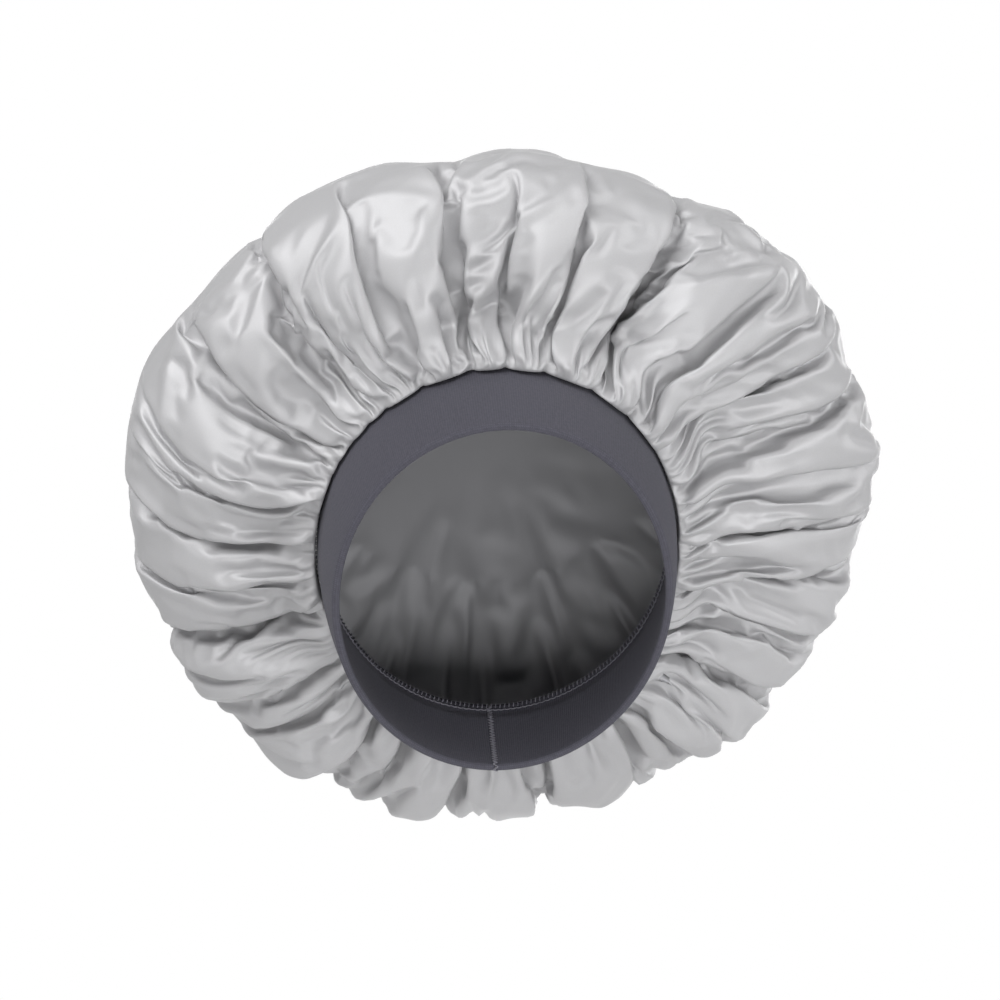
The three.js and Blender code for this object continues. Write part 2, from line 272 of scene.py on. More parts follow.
# woven elastic: cords side by side along its length
def webbingMaterial():
    material, tree, shader = newMaterial("wovenElastic", {"Roughness": 0.8})
    place = newNode(tree, "ShaderNodeTexCoord", {}).outputs["Object"]
    upright = newNode(tree, "ShaderNodeMapping", {
        "Vector": place, "Rotation": (math.radians(cap["lean"]), 0, 0)})
    parts = newNode(tree, "ShaderNodeSeparateXYZ", {"Vector": upright.outputs["Vector"]}).outputs
    along = newNode(tree, "ShaderNodeCombineXYZ", {"X": parts["Z"], "Y": parts["X"]}).outputs["Vector"]
    cords = useGroup(tree, yarnLoops, {
        "Vector": along, "Across": 700.0, "Along": 900.0, "Slant": 0.5})["Height"]
    dyed = useGroup(tree, unevenDye, {
        "Vector": place, "Color": (0.66, 0.65, 0.63, 1), "Scale": 300.0, "Amount": 0.2})
    tree.links.new(dyed["Color"], shader["Base Color"])
    bump = newNode(tree, "ShaderNodeBump", {"Strength": 0.6, "Distance": 0.0004, "Height": cords})
    tree.links.new(bump.outputs["Normal"], shader["Normal"])
    return material


# grey polyester thread with a slight twist
def threadMaterial():
    material, tree, shader = newMaterial("greyThread", {"Roughness": 0.55, "Sheen Weight": 0.1})
    place = newNode(tree, "ShaderNodeTexCoord", {}).outputs["Object"]
    dyed = useGroup(tree, unevenDye, {
        "Vector": place, "Color": (0.2, 0.195, 0.23, 1), "Scale": 900.0, "Amount": 0.35})
    tree.links.new(dyed["Color"], shader["Base Color"])
    turned = newNode(tree, "ShaderNodeMapping", {"Vector": place, "Rotation": (0.6, 0.5, 0.8)})
    twist = useGroup(tree, yarnLoops, {
        "Vector": turned.outputs["Vector"], "Across": 3000.0, "Along": 800.0, "Slant": 1.0})
    bump = newNode(tree, "ShaderNodeBump", {"Strength": 0.4, "Distance": 0.0002, "Height": twist["Height"]})
    tree.links.new(bump.outputs["Normal"], shader["Normal"])
    return material


silverSatin = satinMaterial()
slateKnit = knitMaterial()
wovenElastic = webbingMaterial()
greyThread = threadMaterial()
print("materials made")

# crown of satin, gathered on to the band
satin = {
    "rightReach": 0.173,
    "leftReach": 0.162,
    "frontReach": 0.162,
    "backReach": 0.179,
    "shoulderRise": 0.055,
    "backRise": 0.085,
    "neckOut": 0.0045,
    "columns": 360,
    "shoulderRows": 36,
    "backRows": 46,
    "rowPower": 1.2,  # above 1 the rows crowd towards the seam
    "halveAt": (1.3, 1.62, 1.84),  # places past which a ring has half the columns
    "finePoints": 4321,
    "seed": 11,
    "smallFolds": 14,
    "smallRanges": [(-180, 180), (-5, 5), (2, 5), (2.5, 4.5), (0.25, 0.8), (-0.4, 0.4)],
    "extraPinches": 10,
    "foldGain": 1.3,
    "foldSpread": 0.8,  # share by which a fold is wider at the girth
    "foldRadius": (0.085, 0.08),  # at the seam, and what the girth adds
    "seamDepth": 0.25,  # share of a fold's depth at the seam
    "fullDepthAt": 0.2,
    "swell": 6.0,  # mm that the cloth between the folds stands out
    "swellFrom": 0.25,
    "swellTo": 1.6,
    "fullGap": 12,  # degrees between two pinches with a full scallop
    "leastScallop": 0.15,
    "scallopDrop": 0.005,
    "scallopRise": 0.0006,
    "scallopMiddle": 0.5,
    "scallopFade": (0.02, 0.25),
    "pinked": 0.0035,  # zigzag-cut raw edge
    "cutPoints": 721,
    "cutHeight": 0.15,
    "lengthFullness": 0.98,
    "seamShrink": 0.6,
    "shrinkReach": 0.08,
    "simScale": 10.0,
    "gatherFrames": 10,
    "letGo": (2, 6),  # frames after gathering, from and to
    "airFrames": 26,
    "sinkFrames": 10,
    "simFrames": 60,
    "pin": 50,
    "freeHold": 0.9,  # hold on the free cloth while it is gathered
    "quality": 6,
    "mass": 0.02,
    "airDamping": 2,
    "tension": 80.0,
    "shearShare": 0.4,
    "bending": 0.05,
    "pressure": 25.0,
    "lastPressure": -3.0,
    "weight": 0.4,
    "selfDistance": 0.01,
    "largeWaves": 32,
    "fullWaves": 12,
    "largeRows": 1.2,
    "largeSpan": 8,
    "largeOver": 7,  # rows past the seam
    "creaseGain": 0.6,
    "creaseOver": 4,
    "creaseFade": (1.2, 1.7),
    "seamGain": 1.4,
    "seamFade": (0.1, 0.6),
    "calmRounds": 6,
    "calmGain": -0.5,
    "calmFrom": (1.7, 1.95),
    "tipPlaces": 0.14,
    "tipRise": 0.0026,
    "tipRings": 3,
    "pressFrom": 1.015,
    "pressShare": 0.3,
}
mm = 0.001
perMetre = 1000
polePlace = 2  # place along the crown: 0 at the seam, 1 at the widest girth
# degrees from the top, drift by the girth, depth and width in mm, the place where it ends, lean to one side
mainFolds = [
    (-127, -8, 9, 7, 1.3, 0.2), (-113, -3, 12, 8, 1.5, 0.3), (-107, 6, 7, 5, 1.0, -0.3),
    (-91, -4, 10, 7, 1.3, 0.2), (-79, -7, 8, 6, 1.1, 0.4), (-66, 2, 7, 5, 0.8, 0.0),
    (-61, 2, 11, 7, 1.5, 0.3), (-46, 4, 14, 9, 1.6, -0.4), (-39, 2, 8, 5, 1.1, 0.2),
    (-26, 1, 8, 9, 1.3, 0.0), (-10, 0, 13, 8, 1.8, 0.4), (0, 2, 12, 8, 0.9, -0.3),
    (12, 0, 9, 6, 1.5, 0.3), (28, 1, 15, 9, 1.6, -0.4), (42, 2, 7, 7, 1.2, 0.1),
    (57, 3, 8, 7, 1.0, 0.1), (69, 2, 12, 8, 1.6, -0.4), (88, 4, 9, 7, 1.3, 0.2),
    (104, -4, 12, 8, 1.5, 0.3), (110, 5, 7, 5, 1.0, 0.2), (128, -3, 10, 8, 1.3, -0.2),
    (140, 6, 8, 6, 1.0, 0.2), (149, -2, 9, 7, 1.4, 0.2), (166, 4, 11, 8, 1.2, -0.2),
    (173, -5, 7, 5, 1.0, 0.3), (186, 0, 11, 8, 1.4, -0.3), (199, 5, 8, 6, 1.1, 0.2),
    (211, -6, 11, 8, 1.4, -0.2), (223, 2, 8, 6, 1.1, 0.2),
]
# hollows that open beside the seam and close before the girth, in the same terms
hollows = [
    (-113, -3, 9, 7, 0.8, 0.2), (-91, -4, 9, 7, 0.8, 0.2), (-64, 2, 9, 8, 0.8, 0.2),
    (-43, 4, 14, 9, 0.85, -0.3), (-4, 0, 13, 9, 0.75, 0.0), (28, 1, 15, 9, 0.9, -0.4),
    (56, 2, 9, 8, 0.8, 0.1), (79, 1, 9, 7, 0.8, 0.2), (104, -4, 10, 7, 0.9, 0.3),
    (126, -3, 9, 7, 0.8, -0.2), (150, 0, 9, 7, 0.8, 0.2), (186, 0, 9, 7, 0.8, -0.3),
    (212, -6, 9, 7, 0.8, 0.2),
]
# small folds in the same terms, each value drawn between its two limits
draw = np.random.default_rng(satin["seed"])
smallFolds = [tuple(draw.uniform(low, high) for low, high in satin["smallRanges"])
              for _ in range(satin["smallFolds"])]
pinches = np.sort(np.array([f[0] for f in mainFolds + smallFolds[:satin["extraPinches"]]]) % 360)


# scallops of the gathered edge: an arc from each pinch to the next, lower where they are close
def scallop(angle):
    degrees = (np.degrees(angle) + 90) % 360
    ends = np.concatenate([pinches, pinches[:1] + 360])
    turned = np.where(degrees < pinches[0], degrees + 360, degrees)
    k = np.clip(np.searchsorted(ends, turned, side="right") - 1, 0, len(pinches) - 1)
    gap = ends[k + 1] - ends[k]
    t = (turned - ends[k]) / gap
    arc = np.sqrt(np.clip(4 * t * (1 - t), 0, 1))
    return arc * np.clip(gap / satin["fullGap"], satin["leastScallop"], 1)


# plain crown: a quarter ellipse from the neck out to the widest girth, another from there in to the back
def plainCrown(angle, place):
    neck = bandPoint(angle, cap["bandWidth"] + 0 * angle, satin["neckOut"])
    reachX = np.where(np.cos(angle) < 0, satin["leftReach"], satin["rightReach"])
    reachY = np.where(np.sin(angle) < 0, satin["frontReach"], satin["backReach"])
    gx, gy = reachX * np.cos(angle), reachY * np.sin(angle)
    front = np.clip(place, 0, 1) * np.pi / 2
    back = np.clip(place - 1, 0, 1) * np.pi / 2
    x = (neck[..., 0] + (gx - neck[..., 0]) * np.sin(front)) * np.cos(back)
    y = (neck[..., 1] + (gy - neck[..., 1]) * np.sin(front)) * np.cos(back)
    z = cap["bandWidth"] + satin["shoulderRise"] * (1 - np.cos(front)) + satin["backRise"] * np.sin(back)
    return np.stack(np.broadcast_arrays(x, y, z), -1)


# outward normal of the plain crown, from small steps round and along it
def plainNormal(angle, place):
    step = 1e-3
    p = np.clip(place, step, polePlace - 3 * step)
    around = plainCrown(angle + step, p) - plainCrown(angle - step, p)
    along = plainCrown(angle, p + step) - plainCrown(angle, p - step)
    normal = np.cross(around, along)
    return normal / np.linalg.norm(normal, axis=-1, keepdims=True)


# height of the folded cloth over the plain crown: each fold is a cusped valley that fades along its length
def foldHeight(degrees, place):
    seamRadius, added = satin["foldRadius"]
    radius = seamRadius + added * np.sin(np.clip(place, 0, 1) * np.pi / 2)
    opening = satin["seamDepth"] + (1 - satin["seamDepth"]) * smoothStep(0, satin["fullDepthAt"], place)
    height = np.zeros(np.broadcast(degrees, place).shape)
    for at, drift, deep, width, reach, side in mainFolds + hollows + smallFolds:
        away = (degrees - at - drift * place + 180) % 360 - 180
        x = np.radians(away) * radius * perMetre / (width * (1 + satin["foldSpread"] * place))
        x = np.where(x > 0, x / (1 + side), x / (1 - side))
        depth = satin["foldGain"] * deep * opening * (1 - np.clip(place / reach, 0, 1) ** 2)
        height = height - depth * np.exp(-np.abs(x))
    swell = satin["swell"] * (1 - np.clip(place / satin["swellTo"], 0, 1) ** 2)
    swell = swell * smoothStep(0, satin["swellFrom"], place)
    return (height + swell) * mm


# rows held in the seam, along and out, from the raw edge to the outside
seamRows = [(0.051, 0.0009), (0.0485, 0.0009), (0.0462, 0.0008), (0.0445, 0.0008), (0.0437, 0.0011)]
places = np.concatenate([(np.arange(satin["shoulderRows"] + 1) / satin["shoulderRows"]) ** satin["rowPower"],
                         1 + np.arange(1, satin["backRows"]) / satin["backRows"]])


# rows of the crown from its raw edge to the back; each row is spread evenly along its own folded length
def crownShape():
    halved = (places[:, None] > np.array(satin["halveAt"])).sum(axis=1)
    edge, trim, sewn, _, outside = [along for along, out in seamRows]
    rows, sizes = [], []
    fine = np.linspace(-np.pi, np.pi, satin["finePoints"]) - np.pi / 2
    full = np.arange(satin["columns"]) / satin["columns"]
    for along, out in seamRows:
        angle = full * 2 * np.pi - np.pi - np.pi / 2
        share = smoothStep(sewn, outside, along) * scallop(angle)
        pinked = satin["pinked"] * (np.arange(satin["columns"]) % 2) * smoothStep(trim, edge, along)
        line = along - satin["scallopDrop"] * share - pinked
        rows.append(bandPoint(angle, line, out + satin["scallopRise"] * share))
        sizes.append(satin["columns"])
    for place, skip in zip(places, 2 ** halved):
        degrees = np.degrees(fine + np.pi / 2)
        line = plainCrown(fine, place) + plainNormal(fine, place) * foldHeight(degrees, place)[:, None]
        rise = (scallop(fine) - satin["scallopMiddle"]) * (1 - smoothStep(*satin["scallopFade"], place))
        line = line + plainNormal(fine, place) * (satin["scallopDrop"] * rise)[:, None]
        length = np.concatenate([[0], np.cumsum(np.linalg.norm(np.diff(line, axis=0), axis=1))])
        even = full[::skip] * length[-1]
        rows.append(np.stack([np.interp(even, length, line[:, k]) for k in range(3)], -1))
        sizes.append(satin["columns"] // skip)
    pole = np.array([[0, 0, cap["bandWidth"] + satin["shoulderRise"] + satin["backRise"]]])
    return rows, sizes, pole


# faces of rings that halve their columns on the way to the pole
def ringFaces(sizes):
    faces, start = [], 0
    for here, there in zip(sizes[:-1], sizes[1:]):
        k = np.arange(there)
        if here == there:
            a, b = start + k, start + (k + 1) % here
            faces += np.stack([a, b, b + here, a + here], -1).tolist()
        else:
            a, b, c = start + 2 * k, start + 2 * k + 1, start + (2 * k + 2) % here
            d, e = start + here + k, start + here + (k + 1) % there
            corners = [np.stack(three, -1) for three in ((a, b, d), (b, e, d), (b, c, e))]
            faces += np.concatenate(corners).tolist()
        start += here
    last = sizes[-1]
    k = np.arange(last)
    faces += np.stack([start + k, start + (k + 1) % last, np.full_like(k, start + last)], -1).tolist()
    return faces


rows, sizes, pole = crownShape()
crownPoints = np.concatenate(rows + [pole])
crownFaces = ringFaces(sizes)
rowOf = np.concatenate([np.full(n, i) for i, n in enumerate(sizes + [1])])
print("crown laid out:", len(crownPoints), "points")


# the cut of the cloth: a flat round whose rings lie as far apart as the crown's rows,
# and further where the gathers shrink the cloth
def clothCut():
    angle = np.linspace(-np.pi, np.pi, satin["cutPoints"])
    seam = [bandPoint(angle, along + 0 * angle, out) for along, out in seamRows]
    plain = [plainCrown(angle, place + 0 * angle) for place in places]
    plain = seam + plain + [np.repeat(pole, satin["cutPoints"], 0)]
    gaps = np.array([np.linalg.norm(b - a, axis=1).mean() for a, b in zip(plain[:-1], plain[1:])])
    run = np.concatenate([[0], np.cumsum(gaps)]) * satin["lengthFullness"]
    shrink = satin["seamShrink"] * (1 - smoothStep(0, satin["shrinkReach"], run))
    wide = gaps * satin["lengthFullness"] / (1 - (shrink[1:] + shrink[:-1]) / 2)
    radius = np.concatenate([np.cumsum(wide[::-1])[::-1], [0]])[rowOf]
    turn = np.concatenate([np.arange(n) / n * 2 * np.pi - 1.5 * np.pi for n in sizes] + [np.zeros(1)])
    cut = np.stack([radius * np.cos(turn), radius * np.sin(turn), satin["cutHeight"] + 0 * turn], -1)
    return cut, shrink[rowOf]


# Blender's cloth settles the crown: cut flat, gathered into its folds, then let go under its own weight
# with its edge held in the seam, first full of air and then drawn in
def settleCrown(points):
    scale = satin["simScale"]
    cut, shrink = clothCut()
    work = addPiece("crownAtWork", toRow(cut) * scale, crownFaces, silverSatin)
    work.shape_key_add(name="Basis")
    gathered = work.shape_key_add(name="gathered")
    gathered.data.foreach_set("co", (points * scale).ravel())
    for value, when in ((0, 1), (1, satin["gatherFrames"])):
        gathered.value = value
        gathered.keyframe_insert("value", frame=when)
    hold = work.vertex_groups.new(name="hold")
    hold.add(np.nonzero(rowOf < len(seamRows))[0].tolist(), 1.0, "REPLACE")
    hold.add(np.nonzero(rowOf >= len(seamRows))[0].tolist(), satin["freeHold"], "REPLACE")
    gather = work.vertex_groups.new(name="gather")
    for row in range(rowOf.max()):
        here = np.nonzero(rowOf == row)[0]
        gather.add(here.tolist(), float(shrink[here[0]] / satin["seamShrink"]), "REPLACE")
    cloth = work.modifiers.new("settle", "CLOTH")
    setting = cloth.settings
    setting.vertex_group_mass = "hold"
    setting.vertex_group_shrink = "gather"
    setting.shrink_min, setting.shrink_max = 0, satin["seamShrink"]
    heldTo, freeFrom = (satin["gatherFrames"] + more for more in satin["letGo"])
    for value, when in ((satin["pin"], 1), (satin["pin"], heldTo), (0, freeFrom)):
        setting.pin_stiffness = value
        setting.keyframe_insert("pin_stiffness", frame=when)
    setting.quality = satin["quality"]
    setting.mass = satin["mass"]
    setting.air_damping = satin["airDamping"]
    setting.tension_stiffness = satin["tension"]
    setting.compression_stiffness = satin["tension"]
    setting.shear_stiffness = satin["tension"] * satin["shearShare"]
    setting.bending_stiffness = satin["bending"]
    setting.use_pressure = True
    fullTo, drawnBy = satin["airFrames"], satin["airFrames"] + satin["sinkFrames"]
    air = satin["pressure"]
    for value, when in ((air, 1), (air, fullTo), (satin["lastPressure"], drawnBy)):
        setting.uniform_pressure_force = value
        setting.keyframe_insert("uniform_pressure_force", frame=when)
    setting.effector_weights.gravity = satin["weight"]
    cloth.collision_settings.use_collision = False
    cloth.collision_settings.use_self_collision = True
    cloth.collision_settings.self_distance_min = satin["selfDistance"]
    cloth.point_cache.frame_start = 1
    cloth.point_cache.frame_end = satin["simFrames"]
    for f in range(1, satin["simFrames"] + 1):
        scene.frame_set(f)
    settled = work.evaluated_get(bpy.context.evaluated_depsgraph_get())
    co = np.empty(len(points) * 3)
    settled.data.vertices.foreach_get("co", co)
    bpy.data.objects.remove(work)
    scene.frame_set(1)
    return co.reshape(-1, 3) / scale


# first waves of every ring, less of the shorter ones, evened out from ring to ring: the shape with its
# main folds and without the small ones
def shapeAtLarge(points):
    count, span = satin["largeWaves"], satin["largeSpan"]
    waves, start = [], 0
    for n in sizes:
        wave = np.fft.rfft(points[start:start + n], axis=0)[:count] / n
        waves.append(np.pad(wave, ((0, count - len(wave)), (0, 0))))
        start += n
    waves = np.array(waves) * (1 - smoothStep(satin["fullWaves"], count, np.arange(count)))[:, None]
    steps = np.arange(-span, span + 1)
    spread = np.exp(-0.5 * (steps / satin["largeRows"]) ** 2)
    padded = np.concatenate([np.repeat(waves[:1], span, 0), waves, np.repeat(waves[-1:], span, 0)])
    waves = sum(w * padded[k:k + len(waves)] for k, w in enumerate(spread / spread.sum()))
    even = []
    for n, wave in zip(sizes, waves):
        full = np.zeros((n // 2 + 1, 3), complex)
        full[:count] = wave[:len(full)] * n
        even.append(np.fft.irfft(full, n, axis=0))
    return np.concatenate(even + [points[-1:]])


# each point moves away from the middle of its two neighbours on the ring,
# or towards it where the gain is below 0
def drawCreases(points, gain):
    moved, start = points.copy(), 0
    for n, share in zip(sizes, gain):
        ring = points[start:start + n]
        moved[start:start + n] += share * (ring - (np.roll(ring, 1, 0) + np.roll(ring, -1, 0)) / 2)
        start += n
    return moved


# the innermost rings: a shallow dome on the first of them, reached over a few rings
def evenTip(points, rowPlace):
    rings = rowPlace[rowPlace > rowPlace[-1] - satin["tipPlaces"]]
    first = len(points) - 1 - len(rings) * sizes[-1]
    tip = points[first:-1].reshape(len(rings), sizes[-1], 3)
    middle = tip[0].mean(axis=0)
    share = ((polePlace - rings) / (polePlace - rings[0]))[:, None, None]
    rise = toRow(np.array([0, 0, satin["tipRise"]]))
    even = middle + (tip[0] - middle) * share + rise * (1 - share ** 2)
    tip = tip + smoothStep(0, satin["tipRings"], np.arange(len(rings)))[:, None, None] * (even - tip)
    return np.concatenate([points[:first], tip.reshape(-1, 3), [middle + rise]])


# a fold that stands out past the widest girth is pressed back towards it
def pressIn(points):
    x = points[:, 0]
    y = points[:, 1] * leanCos - points[:, 2] * leanSin
    z = points[:, 1] * leanSin + points[:, 2] * leanCos
    least = 1e-6  # no division by 0 at the pole
    far = np.maximum(np.hypot(x, y), least)
    reachX = np.where(x < 0, satin["leftReach"], satin["rightReach"])
    reachY = np.where(y < 0, satin["frontReach"], satin["backReach"])
    limit = satin["pressFrom"] * far / np.maximum(np.hypot(x / reachX, y / reachY), least)
    share = (np.minimum(far, limit) + satin["pressShare"] * np.maximum(far - limit, 0)) / far
    return toRow(np.stack([x * share, y * share, z], -1))


crownPoints = toRow(crownPoints)
before = crownPoints.copy()
crownPoints = settleCrown(crownPoints)
held = len(seamRows)
share = smoothStep(held, held + satin["largeOver"], rowOf)[:, None]
crownPoints = crownPoints + share * shapeAtLarge(before - crownPoints)
rowPlace = np.concatenate([np.zeros(held), places])
sharper = smoothStep(held, held + satin["creaseOver"], np.arange(len(sizes)))
sharper = sharper * (1 - smoothStep(*satin["creaseFade"], rowPlace))
seamGain = satin["seamGain"] * (1 - smoothStep(*satin["seamFade"], rowPlace))
crownPoints = drawCreases(crownPoints, (satin["creaseGain"] + seamGain) * sharper)
calm = satin["calmGain"] * smoothStep(*satin["calmFrom"], rowPlace)
for _ in range(satin["calmRounds"]):
    crownPoints = drawCreases(crownPoints, calm)
crownPoints = pressIn(evenTip(crownPoints, rowPlace))
print("crown settled")
crown = addPiece("satin_crown", crownPoints, crownFaces, silverSatin, flat=clothCut()[0][:, :2])
smooth = crown.modifiers.new("smooth", "SUBSURF")
smooth.levels = smooth.render_levels = 1
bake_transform(crown)
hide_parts("crown_side", "crown_back")

# band of slate knit: a strip folded double at the front, both raw edges in the seam,
# its ends meeting at the nape
band = {
    "ply": 0.0009,
    "slot": 0.0018,  # room between the plies, for the elastic
    "closeUp": 0.0003,  # between the plies where they are sewn together
    "margin": 0.005,  # band beyond the elastic
    "rows": 26,  # along each ply
    "foldRows": 9,
    "columns": 300,
    "napeGap": 0.0004,
    "pucker": 0.0005,  # how far the gathers dent the band next to the seam
    "puckerReach": (0.009, 0.001),  # on the band and past the seam
    "puckerMiddle": 0.6,
}
bandThickness = 2 * band["ply"] + band["slot"]


# middle of the strip as (along, out): down the outer ply, half a circle round the front fold,
# up the inner ply
def bandMiddle():
    half = bandThickness / 2
    down = np.linspace(rawEdge, half, band["rows"])
    turn = np.linspace(0, np.pi, band["foldRows"] + 2)[1:-1]
    bend = half - band["ply"] / 2
    up = np.linspace(half, rawEdge, band["rows"])
    innerOut = band["ply"] / 2 - bandThickness
    sewnOut = -1.5 * band["ply"] - band["closeUp"]
    closing = smoothStep(cap["bandWidth"] - band["margin"], cap["bandWidth"], up)
    inner = innerOut + (sewnOut - innerOut) * closing
    along = np.concatenate([down, half - bend * np.sin(turn), up])
    outward = np.concatenate([-band["ply"] / 2 + 0 * down, -half + bend * np.cos(turn), inner])
    return along, outward


along, outward = bandMiddle()
slopeAlong, slopeOut = np.gradient(along), np.gradient(outward)
slope = np.hypot(slopeAlong, slopeOut)
normalAlong, normalOut = slopeOut / slope, -slopeAlong / slope
strip = np.concatenate([[0], np.cumsum(np.hypot(np.diff(along), np.diff(outward)))])
halfPly = band["ply"] / 2
sectionAlong = np.concatenate([along + normalAlong * halfPly, (along - normalAlong * halfPly)[::-1]])
sectionOut = np.concatenate([outward + normalOut * halfPly, (outward - normalOut * halfPly)[::-1]])
sectionFlat = np.concatenate([strip, strip[::-1]])
napeHalf = band["napeGap"] / cap["seamHalfWidth"]
around = np.linspace(nape + napeHalf, nape + 2 * np.pi - napeHalf, band["columns"])[:, None]
onBand, pastSeam = band["puckerReach"]
near = smoothStep(cap["bandWidth"] - onBand, cap["bandWidth"], sectionAlong)
near = near * (sectionAlong < cap["bandWidth"] + pastSeam)
dent = band["pucker"] * near * (scallop(around) - band["puckerMiddle"])
bandPoints = toRow(bandPoint(around, sectionAlong + 0 * around, sectionOut + dent))
girthLength = np.cumsum(np.r_[0, np.linalg.norm(np.diff(bandPoints[:, 0], axis=0), axis=1)])
bandFlat = np.stack(np.broadcast_arrays(girthLength[:, None], sectionFlat), -1)
bandFaces = gridFaces(band["columns"], len(sectionAlong), closeRows=False)
k = np.arange(len(along) - 1)
endFace = np.stack([k, k + 1, len(sectionAlong) - 2 - k, len(sectionAlong) - 1 - k], -1)
bandFaces += endFace.tolist() + (endFace + (band["columns"] - 1) * len(sectionAlong)).tolist()
bandPiece = addPiece("knit_band", bandPoints, bandFaces, slateKnit, flat=bandFlat, closed=True)
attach(bandPiece, "cap_body")
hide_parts("band_cover")
print("band made:", len(bandPoints) * len(sectionAlong), "points")

# stitching: the crown seam, the gathers, the overlock on the raw edges and the join at the nape
stitching = {
    "radius": 0.0003,
    "arcPoints": 7,
    "arcShare": (0.05, 0.9),  # of the pitch: where a stitch starts and how long it is
    "loopShading": 0.0004,
    "sunk": 0.6,  # share of the lift that is below the cloth
    "seamLine": 0.0458,  # along, inside the seam allowance
    "gatherOut": 0.0018,
    "seamOut": -0.0027,
    "seamStitches": 178,
    "gatherStitches": 132,
    "overlockTurns": 236,
    "overlockSteps": 14,
    "overlockMiddle": (0.04985, -0.0003),  # along, out
    "overlockHalf": (0.00175, 0.0024),
    "overlockRound": 0.6,  # 1 for an ellipse, less for a box
    "zigzagWidth": 0.0013,
    "zigzagPitch": 0.0021,
    "zigzagPoints": 8,
    "zigzagEnds": 0.002,
    "zigzagStand": 0.7,  # of the thread's radius, over the cloth
}


# row of stitches round the cap: short arcs that dip into the cloth at both ends
def stitchRow(name, node, outAt, count):
    t = np.linspace(0, 1, stitching["arcPoints"])
    first, length = stitching["arcShare"]
    angle = (np.arange(count)[:, None] + first + length * t) / count * 2 * np.pi
    line = stitching["seamLine"] + 0 * angle
    height = outAt + stitching["loopShading"] * (np.sin(np.pi * t) - stitching["sunk"]) + 0 * angle
    paths = bandPoint(angle, line, height)
    ups = bandPoint(angle, line, height + mm) - paths
    points, faces = threadTubes(toRow(paths), toRow(ups), stitching["radius"])
    addThread(name, node, points, faces)


def addThread(name, node, points, faces):
    piece = addPiece(name, points, faces, greyThread, closed=True)
    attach(piece, "cap_body")
    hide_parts(node)


# overlock: a coil whose turns are rounded boxes over the raw edges
def overlockCoil():
    turns, steps = stitching["overlockTurns"], stitching["overlockSteps"]
    middleAlong, middleOut = stitching["overlockMiddle"]
    halfAlong, halfOut = stitching["overlockHalf"]
    power = stitching["overlockRound"]
    loop = np.arange(turns * steps) / steps
    c, s = np.cos(2 * np.pi * loop), np.sin(2 * np.pi * loop)
    line = middleAlong + halfAlong * np.sign(s) * np.abs(s) ** power
    outAt = middleOut + halfOut * np.sign(c) * np.abs(c) ** power
    angle = loop / turns * 2 * np.pi
    path = bandPoint(angle, line, outAt)[None]
    middle = bandPoint(angle, middleAlong + 0 * angle, middleOut)[None]
    points, faces = threadTubes(toRow(path), toRow(path - middle), stitching["radius"], loop=True)
    addThread("overlock_stitches", "overlock_thread", points, faces)


# join at the nape: a zigzag over the two ends, down the outer ply, round the fold and up the inner ply
def napeZigzag():
    pitch, ends = stitching["zigzagPitch"], stitching["zigzagEnds"]
    count = int(strip[-1] / pitch)
    walk = np.linspace(ends, strip[-1] - ends, count * stitching["zigzagPoints"])
    swing = stitching["zigzagWidth"] * np.arcsin(np.sin(2 * np.pi * walk / pitch)) * 2 / np.pi
    stand = halfPly + stitching["radius"] * stitching["zigzagStand"]
    line = np.interp(walk, strip, along + normalAlong * stand)
    outAt = np.interp(walk, strip, outward + normalOut * stand)
    angle = nape + swing / cap["seamHalfWidth"]
    path = bandPoint(angle, line, outAt)[None]
    below = bandPoint(angle, np.interp(walk, strip, along), np.interp(walk, strip, outward))[None]
    points, faces = threadTubes(toRow(path), toRow(path - below), stitching["radius"])
    addThread("nape_join_stitches", "band_join_thread", points, faces)


stitchRow("seam_stitches", "seam_thread", stitching["seamOut"], stitching["seamStitches"])
stitchRow("gather_stitches", "gathering_thread", stitching["gatherOut"], stitching["gatherStitches"])
overlockCoil()
napeZigzag()
for name, material in (("band_elastic", wovenElastic), ("elastic_join_thread", greyThread)):
    nodes[name].data.materials.clear()
    nodes[name].data.materials.append(material)
print("stitching made")

# camera: level, a little to the -x side, as far off as a portrait lens stands
view = {
    "azimuth": -4.0,  # degrees
    "distance": 1.7,
    "across": 0.44,  # metres seen across the picture
    "seamPixel": (497, 548),  # where the middle of the seam is in the picture
    "image": 1000,  # pixels across
    "sensor": 36,  # mm
}
turn = math.radians(view["azimuth"])
towards = np.array([math.sin(turn), -math.cos(turn), 0.0])
right = np.array([math.cos(turn), math.sin(turn), 0.0])
pixel = view["across"] / view["image"]
seamCentre = toRow([0, 0, cap["bandWidth"]])
spot = seamCentre + towards * view["distance"] + right * (view["image"] / 2 - view["seamPixel"][0]) * pixel
spot = spot + np.array([0, 0, (view["seamPixel"][1] - view["image"] / 2) * pixel])
lens = bpy.data.cameras.new("camera")
lens.sensor_width = view["sensor"]
lens.lens = lens.sensor_width * view["distance"] / view["across"]
camera = bpy.data.objects.new("camera", lens)
camera.location = spot
camera.rotation_euler = (math.pi / 2, 0, turn)
scene.collection.objects.link(camera)
scene.camera = camera

# soft lamps: place, where each is aimed, its two sides in metres, and power in watts
lamps = {
    "keyLight": ((-1.0, -0.9, 1.5), (0, 0.08, 0.06), (1.7, 1.7), 42),
    "sideLight": ((1.6, -0.3, 0.6), (0, 0.08, 0.06), (0.8, 1.2), 12),
    "lowLight": ((0.2, -1.1, -0.28), (0, 0.1, -0.1), (1.6, 0.3), 11),
    "rimLight": ((0.4, 1.7, 0.15), (0, 0.08, 0.06), (2.0, 0.8), 24),
}


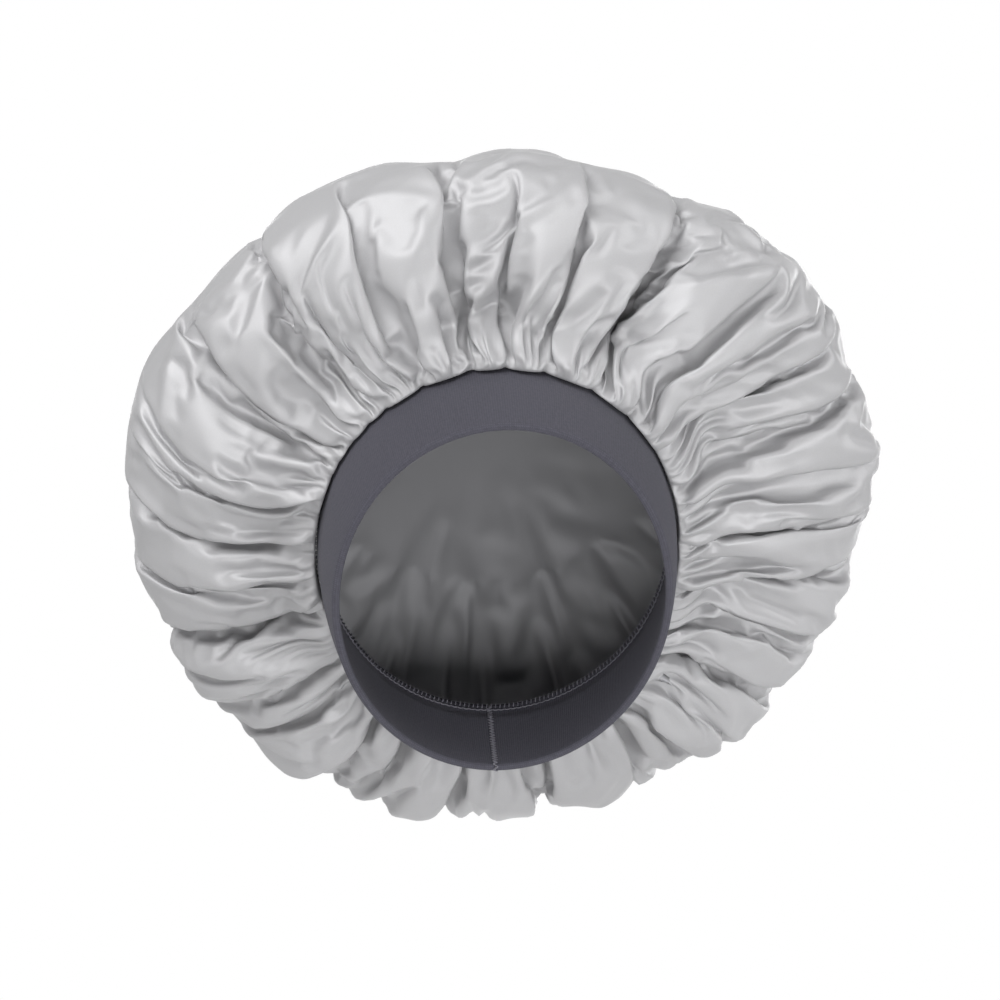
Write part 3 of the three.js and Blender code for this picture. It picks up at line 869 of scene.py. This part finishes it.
def areaLight(name, place, aim, size, power):
    light = bpy.data.lights.new(name, "AREA")
    light.shape = "RECTANGLE"
    light.size, light.size_y = size
    light.energy = power
    lamp = bpy.data.objects.new(name, light)
    lamp.location = place
    away = np.array(place, float) - np.array(aim, float)
    level = math.hypot(away[0], away[1])
    lamp.rotation_euler = (math.atan2(level, away[2]), 0, math.atan2(away[0], -away[1]))
    scene.collection.objects.link(lamp)


for name, values in lamps.items():
    areaLight(name, *values)

# white room: full white for the camera and for reflections, softer as light on the object
room = {"white": 1.0, "light": 0.06}
white = (1, 1, 1, 1)
world = bpy.data.worlds.new("whiteRoom")
scene.world = world
world.use_nodes = True
tree = world.node_tree
soft = tree.nodes["Background"]
soft.inputs["Color"].default_value = white
soft.inputs["Strength"].default_value = room["light"]
bright = newNode(tree, "ShaderNodeBackground", {"Color": white, "Strength": room["white"]})
path = newNode(tree, "ShaderNodeLightPath", {}).outputs
bounced = calc(tree, "MAXIMUM", path["Is Glossy Ray"], path["Is Transmission Ray"])
seen = calc(tree, "MAXIMUM", path["Is Camera Ray"], bounced)
mixed = newNode(tree, "ShaderNodeMixShader", {0: seen, 1: soft.outputs[0], 2: bright.outputs[0]})
tree.links.new(mixed.outputs[0], tree.nodes["World Output"].inputs["Surface"])

# pale floor: a round below the cap that keeps the shadow and fades to the room's white at its rim;
# from below the camera looks through it
floor = {
    "level": -0.34,
    "centre": 0.07,  # y
    "innerRadius": 0.001,
    "radius": 0.8,
    "fadeFrom": 0.3,
    "rings": 12,
    "spokes": 64,
    "colour": (0.9, 0.9, 0.9, 1),
}


def floorMaterial():
    material, tree, shader = newMaterial("paleFloor", {"Roughness": 0.9, "Specular IOR Level": 0.1})
    place = newNode(tree, "ShaderNodeTexCoord", {}).outputs["Object"]
    parts = newNode(tree, "ShaderNodeSeparateXYZ", {"Vector": place}).outputs
    level = newNode(tree, "ShaderNodeCombineXYZ", {"X": parts["X"], "Y": parts["Y"]}).outputs["Vector"]
    away = newNode(tree, "ShaderNodeVectorMath", {0: level}, operation="LENGTH").outputs["Value"]
    fade = newNode(tree, "ShaderNodeMapRange", {
        "Value": away, "From Min": floor["fadeFrom"], "From Max": floor["radius"]},
        interpolation_type="SMOOTHSTEP").outputs["Result"]
    paint = useGroup(tree, unevenDye, {
        "Vector": place, "Color": floor["colour"], "Scale": 6.0, "Amount": 0.03})
    tree.links.new(paint["Color"], shader["Base Color"])
    path = newNode(tree, "ShaderNodeLightPath", {}).outputs
    seen = calc(tree, "MAXIMUM", path["Is Camera Ray"], path["Is Glossy Ray"])
    glow = newNode(tree, "ShaderNodeEmission", {"Color": white, "Strength": room["white"]})
    faded = calc(tree, "MULTIPLY", seen, fade)
    plain = tree.nodes["Principled BSDF"].outputs[0]
    mixed = newNode(tree, "ShaderNodeMixShader", {0: faded, 1: plain, 2: glow.outputs[0]})
    behind = newNode(tree, "ShaderNodeNewGeometry", {}).outputs["Backfacing"]
    under = calc(tree, "MULTIPLY", path["Is Camera Ray"], behind)
    clear = newNode(tree, "ShaderNodeBsdfTransparent", {})
    seenFrom = newNode(tree, "ShaderNodeMixShader", {0: under, 1: mixed.outputs[0], 2: clear.outputs[0]})
    tree.links.new(seenFrom.outputs[0], tree.nodes["Material Output"].inputs["Surface"])
    return material


radius, spoke = np.meshgrid(np.linspace(floor["innerRadius"], floor["radius"], floor["rings"]),
                            np.arange(floor["spokes"]) / floor["spokes"] * 2 * np.pi, indexing="ij")
ground = np.stack([radius * np.cos(spoke), floor["centre"] - radius * np.sin(spoke),
                   floor["level"] + 0 * radius], -1)
floorPiece = addPiece("floor", ground, gridFaces(floor["rings"], floor["spokes"]), floorMaterial())
print("camera, lamps, room and floor made")

scene.view_settings.view_transform = "Standard"
